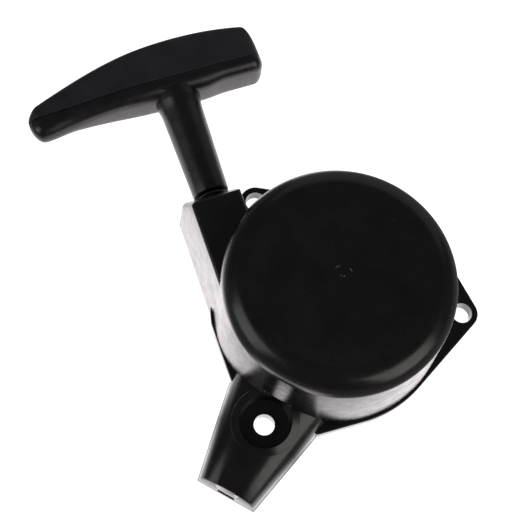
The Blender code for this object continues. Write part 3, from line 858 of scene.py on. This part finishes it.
def reel_profile():
    """Half section of the reel: two cheeks, the groove between them and the long hub."""
    bottom, top = GROOVE
    low, high = bottom - CHEEK, top + CHEEK
    edge, core = REEL_R - 0.3, REEL_CORE_R + 0.4
    profile = [(REEL_BORE_R, low + 0.3), (REEL_BORE_R + 0.3, low)]
    profile += [(REEL_R - 0.4, low), (REEL_R, low + 0.4), (REEL_R, bottom - 0.3), (edge, bottom)]
    profile += [(core, bottom), (REEL_CORE_R, bottom + 0.4), (REEL_CORE_R, top - 0.4), (core, top)]
    profile += [(edge, top), (REEL_R, top + 0.3), (REEL_R, high - 0.4), (REEL_R - 0.4, high)]
    profile += [(REEL_STEP_R, high), (REEL_STEP_R, high + 1.6), (REEL_HUB_R, high + 1.6)]
    return profile + [(REEL_HUB_R, REEL_TOP), (REEL_BORE_R, REEL_TOP)]


def build_reel(material):
    """Reel with grooves, blind holes, pin sockets and the knot's pocket in its lower face."""
    low = GROOVE[0] - CHEEK
    reel = lathe("rope_reel", reel_profile(), segments=144)
    for start in (16.5, 33.2):
        groove = [(start, low - 1), (start + 0.9, low - 1)]
        groove += [(start + 0.7, low + 0.35), (start + 0.2, low + 0.35)]
        join(reel, lathe("face_groove", groove, segments=144), "DIFFERENCE")
    for degrees in PAWLS:
        socket = column("socket", polar(PAWL_PIN, degrees), [(1.9, 5), (1.9, 16)], 32)
        join(reel, socket, "DIFFERENCE")
    pocket = column("knot_pocket", polar(*REEL_KNOT), [(4.0, 5), (4.0, POCKET_TOP)], 48)
    join(reel, pocket, "DIFFERENCE")
    for number in range(6):
        place = polar(29.5, 60 * number + 8.3)
        levels = [(3.0, low - 0.4), (2.6, low + 0.2), (2.6, POCKET_TOP)]
        join(reel, column("hole", place, levels, 36), "DIFFERENCE")
    settle(reel, material)
    return reel


def build_screw(material):
    """Pan head screw with a crossed recess. Its thread is drawn as rings."""
    profile = [(0, 1.4), (4.2, 1.4)] + arc((4.4, 2.4), 1.0, -90, 0, 8)
    profile += [(5.4, 4.4), (THREAD_R, 4.4)]
    height = 5.2
    while height < 23.0:
        profile += [(THREAD_R, height), (THREAD_ROOT_R, height + 0.35), (THREAD_R, height + 0.7)]
        height += THREAD_PITCH
    profile += [(THREAD_ROOT_R, 24.0), (0, 25.0)]
    screw = lathe("post_screw", profile, segments=72)
    for turn in (0, 90):
        rings = []
        for height, half in ((0.5, 0.8), (1.4, 0.7), (3.4, 0.35)):
            reach = 3.2 - 0.7 * (height - 1.4)
            corners = [(-reach, -half), (reach, -half), (reach, half), (-reach, half)]
            rings.append([(x, y, height) for x, y in corners])
        slot = loft("recess", rings)
        slot.data.transform(Matrix.Rotation(math.radians(turn + 0.01), 4, "Z"))
        join(screw, slot, "DIFFERENCE")
    settle(screw, material)
    return screw


def build_wire(name, places, radius, material, detail=6):
    curve = bpy.data.curves.new(name, "CURVE")
    curve.dimensions = "3D"
    curve.bevel_depth = radius * MM
    curve.bevel_resolution = detail
    curve.use_fill_caps = True
    spline = curve.splines.new("POLY")
    spline.points.add(len(places) - 1)
    for point, place in zip(spline.points, places):
        point.co = (*(Vector(place) * MM), 1.0)
    curve.materials.append(material)
    item = bpy.data.objects.new(name, curve)
    bpy.context.scene.collection.objects.link(item)
    return item


def build_friction_coil(material):
    """Two turns of wire that press on the friction plate."""
    places = []
    for step in range(97):
        places.append((*polar(COIL_R, 720 * step / 96), COIL_LOW + COIL_RISE * step / 96))
    return build_wire("friction_coil", places, 0.45, material)


def build_hairpin(number, degrees, material):
    """Hairpin spring that lies beside its pawl under the reel."""
    bend = [(x + 1.0, y) for x, y in arc((0, 0), 2.0, 60, 300, 30)]
    shift = Matrix.Translation((*polar(HAIRPIN_AT, degrees + 2), HAIRPIN_Z))
    turn = shift @ Matrix.Rotation(math.radians(degrees - 95), 4, "Z")
    places = [turn @ Vector((x, y, 0)) for x, y in [(12.0, 0.0)] + bend + [(10.0, -3.2)]]
    return build_wire(f"hairpin_{number}", places, 0.3, material)


def ring_part(name, inner, outer, low, high, material, edge=0.15):
    profile = [(inner, low + edge), (inner + edge, low), (outer - edge, low), (outer, low + edge)]
    profile += [(outer, high - edge), (outer - edge, high)]
    profile += [(inner + edge, high), (inner, high - edge)]
    return lathe(name, profile, material, 96)


def dress(node, material, bevel=0.0):
    """Keep a CAD node's own shape, with a finished material and softened edges."""
    item = nodes[node]
    item.data.materials.clear()
    item.data.materials.append(material)
    if bevel:
        modifier = item.modifiers.new("edge", "BEVEL")
        modifier.width = bevel * MM
        modifier.segments = 2
        modifier.limit_method = "ANGLE"
        modifier.angle_limit = math.radians(40)


# ---------------------------------------------------------------- the object

def build_object():
    shell = moulded_black("shell_black", (0.0065, 0.0065, 0.0073), 0.24, 0.000006, flow=0.0000035)
    gloss = moulded_black("grip_gloss_black", (0.008, 0.008, 0.0085), 0.3, 0.000008)
    satin = moulded_black("grip_satin_black", (0.0145, 0.014, 0.0185), 0.52, 0.00003)
    zinc = metal("zinc_plate", (0.66, 0.66, 0.63), 0.3, 0.00001, (0.5, 0.52, 0.5))
    bright = metal("bright_steel", (0.74, 0.74, 0.74), 0.12, 0.000003)
    blued = metal("spring_steel", (0.30, 0.31, 0.34), 0.28, 0.000008)
    sinter = metal("pawl_steel", (0.38, 0.37, 0.36), 0.42, 0.00003)
    nylon = natural_nylon()
    cord = braided_cord()

    give(build_housing(shell), "housing", "housing", "housing")
    give(build_guide(satin), "housing", "guide_black", "rope_guide")
    give(build_screw(zinc), "housing", "zinc_steel", "centre_screw")
    washer = ring_part("post_washer", 2.5, 7.5, 4.7, 5.6, zinc)
    give(washer, "housing", "zinc_steel", "thrust_washer")
    give(build_grip_body(gloss), "handle", "grip_gloss", "grip_body")
    give(build_grip_cap(satin), "handle", "grip_satin", "grip_cap")
    give(build_reel(nylon), "reel", "nylon", "reel")
    give(build_rope_turns(cord), "reel", "cord", "wound_rope")
    knot = build_knot("reel_end_knot", (*polar(*REEL_KNOT), 9.6), 2.6, cord)
    give(knot, "reel", "cord", "reel_knot")
    knot = build_knot("grip_end_knot", (ROPE_X, 102.4, ROPE_Z), 3.9, cord)
    give(knot, "rope_end", "cord", "handle_knot")
    give(build_friction_coil(blued), "reel", "spring_steel", "friction_spring")
    for number, degrees in enumerate(PAWLS, 1):
        hairpin = build_hairpin(number, degrees, blued)
        give(hairpin, "reel", "spring_steel", f"pawl_spring_{number}")
        dress(f"pawl_{number}", sinter, 0.25)
        dress(f"pawl_pin_{number}", zinc, 0.15)
    rope = build_rope(cord)
    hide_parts("rope_lead")
    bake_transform(rope)
    dress("friction_plate", zinc, 0.15)
    dress("recoil_spring", blued)
    dress("spring_case", zinc, 0.2)
    dress("spring_cover", zinc, 0.15)
    dress("reel_bush", bright)
    dress("knot_washer", zinc, 0.1)


# ---------------------------------------------------------------- stage, light and camera

def flat_panel(name, half_x, half_y, height=0.0):
    """Single rectangle that faces up."""
    builder = bmesh.new()
    corners = [(-half_x, -half_y), (half_x, -half_y), (half_x, half_y), (-half_x, half_y)]
    builder.faces.new([builder.verts.new((x, y, height)) for x, y in corners])
    mesh = bpy.data.meshes.new(name)
    builder.to_mesh(mesh)
    builder.free()
    panel = bpy.data.objects.new(name, mesh)
    bpy.context.scene.collection.objects.link(panel)
    return panel


def emitter(name, centre, size, radiance, colour):
    """Soft box: a glowing panel that faces the object and isn't seen by the camera."""
    panel = flat_panel(name, size[0] / 2, size[1] / 2)
    material = bpy.data.materials.new(name)
    material.use_nodes = True
    tree = material.node_tree
    tree.nodes.clear()
    glow = tree.nodes.new("ShaderNodeEmission")
    glow.inputs["Color"].default_value = (*colour, 1.0)
    glow.inputs["Strength"].default_value = radiance
    output = tree.nodes.new("ShaderNodeOutputMaterial")
    tree.links.new(glow.outputs["Emission"], output.inputs["Surface"])
    panel.data.materials.append(material)
    direction = -Vector(centre)
    panel.rotation_euler = direction.to_track_quat("Z", "Y").to_euler()
    panel.location = centre
    panel.visible_camera = False


def soft_box(name, azimuth, elevation, wide, tall, radiance, colour):
    """Place a panel by its direction and its angular size, one metre away."""
    across, up = math.radians(azimuth), math.radians(elevation)
    centre = (math.cos(up) * math.cos(across), math.cos(up) * math.sin(across), math.sin(up))
    size = (2 * math.tan(math.radians(wide / 2)), 2 * math.tan(math.radians(tall / 2)))
    emitter(name, centre, size, radiance, colour)


# Light that the floor sends into reflections: (place, full up to, gone at, strength) of each patch.
FLOOR_GLOW = 0.22
FLOOR_GLOWS = (
    ((0.0, 0.0, 0.0), 0.0475, 0.061, 2.3),
    ((-0.048, 0.030, 0.0), 0.024, 0.040, 2.3),
    ((-0.062, -0.058, 0.0), 0.022, 0.042, 2.4),
    ((-0.035, 0.085, 0.0), 0.045, 0.095, 1.5),
)


def floor_level(graph):
    """Strength of the floor's glow: the brightest of its patches at each place."""
    level = None
    for place, near, far, strength in FLOOR_GLOWS:
        distance = graph.node("ShaderNodeVectorMath", operation="DISTANCE")
        distance.inputs[1].default_value = place
        graph.link(graph.place, distance.inputs[0])
        spot = graph.remap(distance.outputs["Value"], near, far, strength, FLOOR_GLOW)
        if level:
            brighter = graph.node("ShaderNodeMath", operation="MAXIMUM")
            graph.link(level, brighter.inputs[0])
            graph.link(spot, brighter.inputs[1])
            spot = brighter.outputs[0]
        level = spot
    return level


def build_floor():
    """Pale light table. The camera sees it even; in reflections its glow fades further out."""
    floor = flat_panel("floor", 3.0, 3.0, -0.0003)
    graph = Graph("floor_white")
    glow = graph.node("ShaderNodeEmission")
    glow.inputs["Color"].default_value = (1.0, 0.95, 0.96, 1.0)
    graph.link(floor_level(graph), glow.inputs["Strength"])
    graph.shader.inputs["Base Color"].default_value = (0.8, 0.8, 0.8, 1.0)
    graph.shader.inputs["Roughness"].default_value = 0.9
    graph.shader.inputs["Emission Color"].default_value = (1.0, 0.985, 0.985, 1.0)
    graph.shader.inputs["Emission Strength"].default_value = 1.1
    path = graph.node("ShaderNodeLightPath")
    choose = graph.node("ShaderNodeMixShader")
    graph.link(path.outputs["Is Camera Ray"], choose.inputs["Fac"])
    graph.link(glow.outputs["Emission"], choose.inputs[1])
    graph.link(graph.shader.outputs["BSDF"], choose.inputs[2])
    graph.link(choose.outputs["Shader"], graph.tree.nodes["Material Output"].inputs["Surface"])
    floor.data.materials.append(graph.material)


def build_world():
    """White surroundings for the eye, a dim room for the reflections."""
    world = bpy.data.worlds.new("room")
    world.use_nodes = True
    bpy.context.scene.world = world
    tree = world.node_tree
    tree.nodes.clear()
    path = tree.nodes.new("ShaderNodeLightPath")
    seen = tree.nodes.new("ShaderNodeBackground")
    seen.inputs["Color"].default_value = (1.0, 1.0, 1.0, 1.0)
    room = tree.nodes.new("ShaderNodeBackground")
    room.inputs["Color"].default_value = (0.97, 0.98, 1.0, 1.0)
    room.inputs["Strength"].default_value = 0.085
    choose = tree.nodes.new("ShaderNodeMixShader")
    output = tree.nodes.new("ShaderNodeOutputWorld")
    tree.links.new(path.outputs["Is Camera Ray"], choose.inputs["Fac"])
    tree.links.new(room.outputs[0], choose.inputs[1])
    tree.links.new(seen.outputs[0], choose.inputs[2])
    tree.links.new(choose.outputs[0], output.inputs["Surface"])


def build_camera():
    data = bpy.data.cameras.new("camera")
    data.lens = 73.01
    data.sensor_width = 36.0
    camera = bpy.data.objects.new("camera", data)
    bpy.context.scene.collection.objects.link(camera)
    right = Vector((0.94317, -0.32560, 0.06642))
    up = Vector((0.28804, 0.90072, 0.32518))
    back = Vector((-0.16571, -0.28756, 0.94332))
    turn = Matrix((right, up, back)).transposed().to_4x4()
    camera.matrix_world = Matrix.Translation((-0.08199, -0.09142, 0.37885)) @ turn
    bpy.context.scene.camera = camera


def build_studio():
    build_world()
    build_floor()
    soft_box("soft_box_front", -56.5, 32.0, 36.0, 46.0, 1.95, (1.0, 0.99, 0.93))
    soft_box("soft_box_left", 179.0, 30.0, 32.0, 48.0, 1.65, (0.97, 0.98, 1.0))
    soft_box("soft_box_back", 52.0, 24.0, 66.0, 46.0, 0.34, (0.97, 0.97, 1.0))
    build_camera()
    bpy.context.scene.view_settings.view_transform = "Standard"


build_object()
build_studio()
